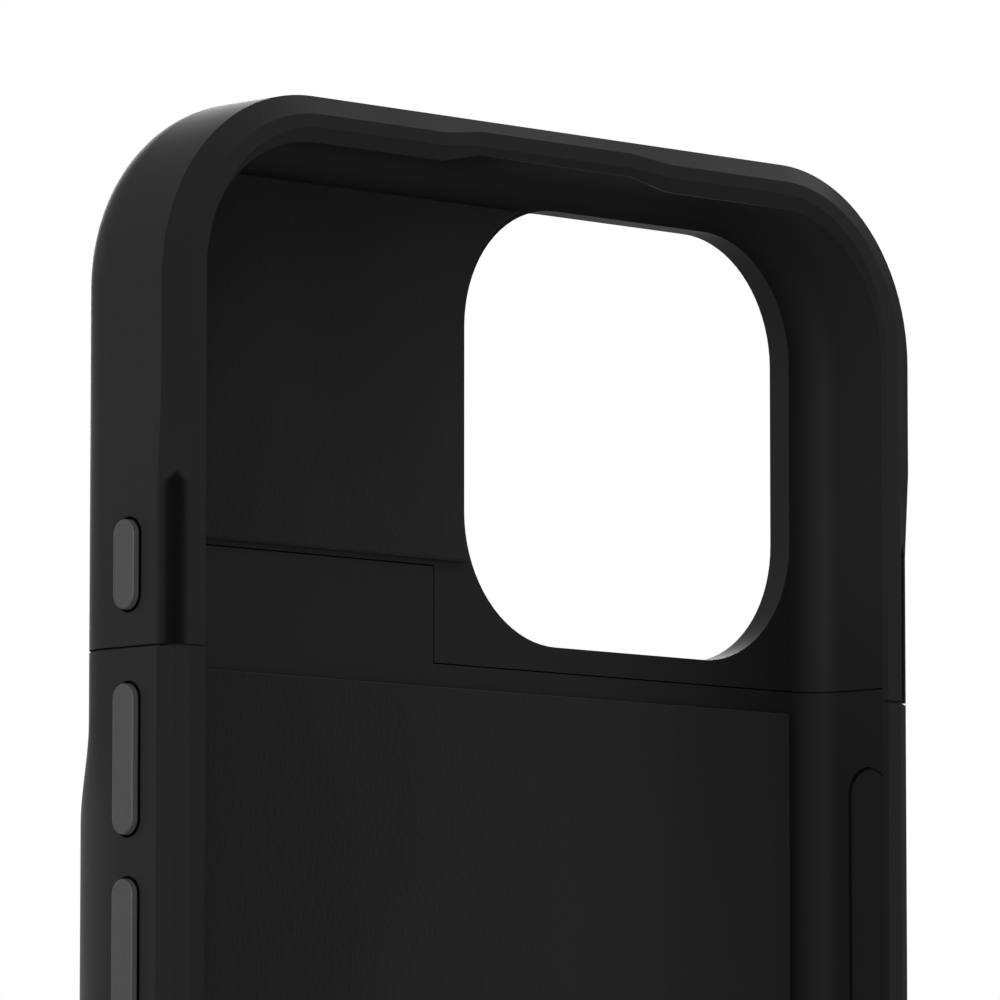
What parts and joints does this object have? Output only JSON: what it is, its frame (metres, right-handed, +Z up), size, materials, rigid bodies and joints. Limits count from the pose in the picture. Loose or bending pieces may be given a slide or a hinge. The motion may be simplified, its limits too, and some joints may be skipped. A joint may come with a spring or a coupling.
{
  "type": "battery charging case",
  "caption": "Slide-on battery charging case for a phone: rounded body with a battery hump, a chin with a rising plug, side buttons, and a slide-off top cap with a camera window.",
  "frame": {"origin": "centre of the flat bottom face, on the floor, midway between front rim and back", "axes": "+Z up along the case, +X to the right as the open front is seen, +Y to the back"},
  "size_m": [0.0738, 0.016, 0.1592],
  "materials": {
    "shell_plastic": "fine matt moulded texture",
    "button_plastic": "satin",
    "lining_cloth": "short soft nap",
    "connector_plastic": "smooth",
    "connector_metal": "drawn and plated",
    "flex_film": "amber film",
    "board_laminate": "solder mask",
    "coil_body": "moulded ferrite",
    "chip_package": "moulded",
    "capacitor_ceramic": "fired ceramic",
    "switch_cover": "stamped",
    "led_resin": "clear resin",
    "light_pipe_clear": "frosted ends",
    "screw_steel": "zinc plated",
    "cell_foil": "laminated pouch foil",
    "adhesive_film": "tacky film",
    "tab_nickel": "rolled strip"
  },
  "bodies": {
    "case_body": {"lower_shell": "shell_plastic", "back_panel": "shell_plastic", "pocket_lining": "lining_cloth", "plug_collar": "connector_plastic", "plug_core": "connector_plastic", "socket_tongue": "connector_plastic", "plug_shell": "connector_metal", "socket_shell": "connector_metal", "plug_flex": "flex_film", "circuit_board": "board_laminate", "power_coil": "coil_body", "control_chips": "chip_package", "capacitors": "capacitor_ceramic", "status_switch": "switch_cover", "status_leds": "led_resin", "light_pipes": "light_pipe_clear", "board_screws": "screw_steel", "battery_cell": "cell_foil", "cell_tape": "adhesive_film", "cell_tabs": "tab_nickel"},
    "cap": {"top_cap": "shell_plastic", "cap_lining": "lining_cloth"},
    "action_key": {"action_button": "button_plastic"},
    "volume_up_key": {"volume_up_button": "button_plastic"},
    "volume_down_key": {"volume_down_button": "button_plastic"},
    "side_key": {"side_button": "button_plastic"},
    "status_key": {"status_button": "button_plastic"}
  },
  "joints": [
    {"name": "cap_slide", "type": "slide", "parent": "case_body", "child": "cap", "axis": [0, 0, 1], "range_m": [0, 0.025]},
    {"name": "action_press", "type": "slide", "parent": "cap", "child": "action_key", "axis": [1, 0, 0], "range_m": [0, 0.0003], "stiffness_N_per_m": 1000, "springref_m": -0.0004},
    {"name": "volume_up_press", "type": "slide", "parent": "case_body", "child": "volume_up_key", "axis": [1, 0, 0], "range_m": [0, 0.0003], "stiffness_N_per_m": 1000, "springref_m": -0.0004},
    {"name": "volume_down_press", "type": "slide", "parent": "case_body", "child": "volume_down_key", "axis": [1, 0, 0], "range_m": [0, 0.0003], "stiffness_N_per_m": 1000, "springref_m": -0.0004},
    {"name": "side_press", "type": "slide", "parent": "case_body", "child": "side_key", "axis": [-1, 0, 0], "range_m": [0, 0.0003], "stiffness_N_per_m": 1000, "springref_m": -0.0004},
    {"name": "status_press", "type": "slide", "parent": "case_body", "child": "status_key", "axis": [0, -1, 0], "range_m": [0, 0.0003], "stiffness_N_per_m": 1000, "springref_m": -0.0004}
  ]
}
